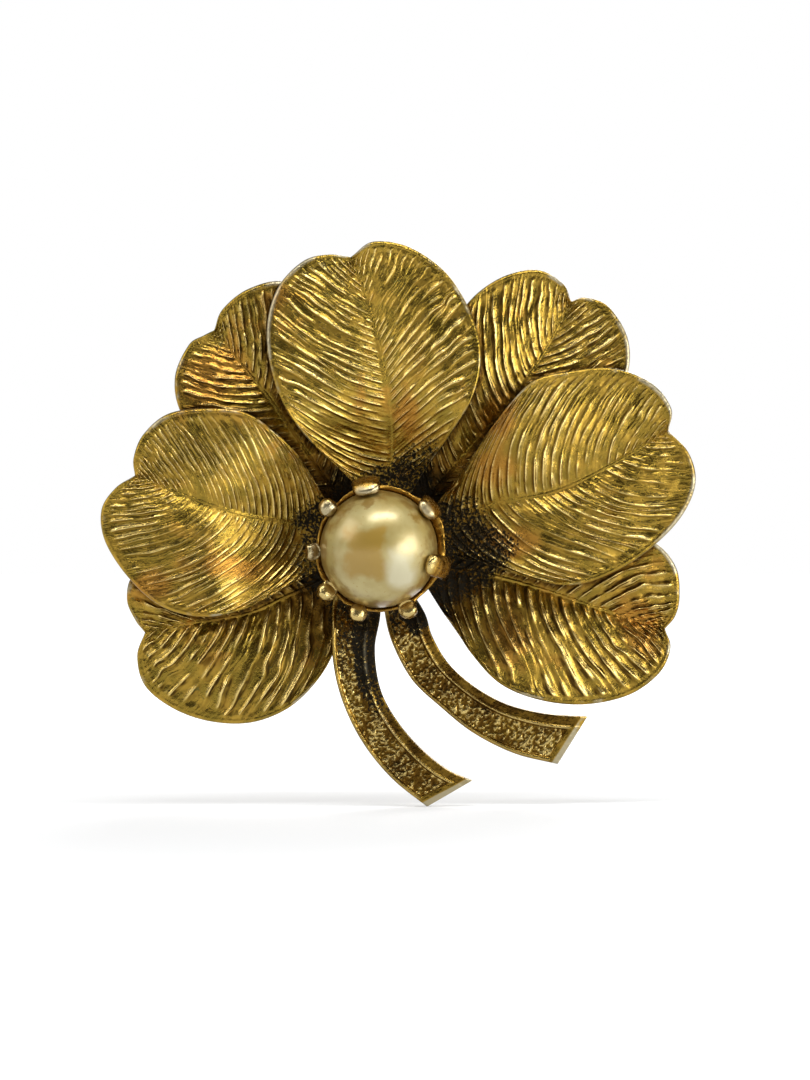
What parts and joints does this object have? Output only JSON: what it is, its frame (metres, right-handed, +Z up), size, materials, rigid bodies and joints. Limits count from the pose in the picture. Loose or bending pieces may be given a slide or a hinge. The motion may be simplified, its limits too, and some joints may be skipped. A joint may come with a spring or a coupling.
{
  "type": "brooch",
  "caption": "Clover brooch in antiqued gold metal: two layers of veined heart-shaped leaves with cut stems round a claw-set pearl, and a hinged pin with a safety catch behind.",
  "frame": {"origin": "on the pin's axis behind the middle of the brooch, where the pin passes through the garment that holds the brooch up", "axes": "+Z up as worn, -Y out of the brooch's face, +X to the viewer's right and along the pin towards its point"},
  "size_m": [0.0431, 0.0164, 0.0411],
  "materials": {
    "antique_gold": "antiqued gold plate with dark patina in the grooves, worn pale at the rims",
    "stem_gold": "antiqued gold plate, granular, heavily tarnished",
    "claw_metal": "gold plate worn to grey-silver on the claws",
    "pearl": "pearl coat, aged cream yellow",
    "finding_steel": "dulled plated steel"
  },
  "bodies": {
    "brooch": {"leaf_top": "antique_gold", "leaf_left": "antique_gold", "leaf_right": "antique_gold", "leaf_upper_left": "antique_gold", "leaf_upper_right": "antique_gold", "leaf_lower_left": "antique_gold", "leaf_lower_right": "antique_gold", "stem_left": "stem_gold", "stem_right": "stem_gold", "rear_hub": "antique_gold", "front_hub": "antique_gold", "crown_setting": "claw_metal", "pearl": "pearl", "centre_rivet": "antique_gold", "pin_bar": "antique_gold", "hinge_bracket": "finding_steel", "hinge_rivet": "finding_steel", "catch_housing": "finding_steel"},
    "pin": {"pin_stem": "finding_steel"},
    "lock": {"catch_lock": "finding_steel"}
  },
  "joints": [
    {"name": "pin_swing", "type": "hinge", "parent": "brooch", "child": "pin", "pos_m": [-0.0115, 0, 0], "axis": [0, 0, 1], "range_deg": [0, 75]},
    {"name": "lock_turn", "type": "hinge", "parent": "brooch", "child": "lock", "pos_m": [0.011, 0, 0], "axis": [-1, 0, 0], "range_deg": [0, 90]}
  ]
}
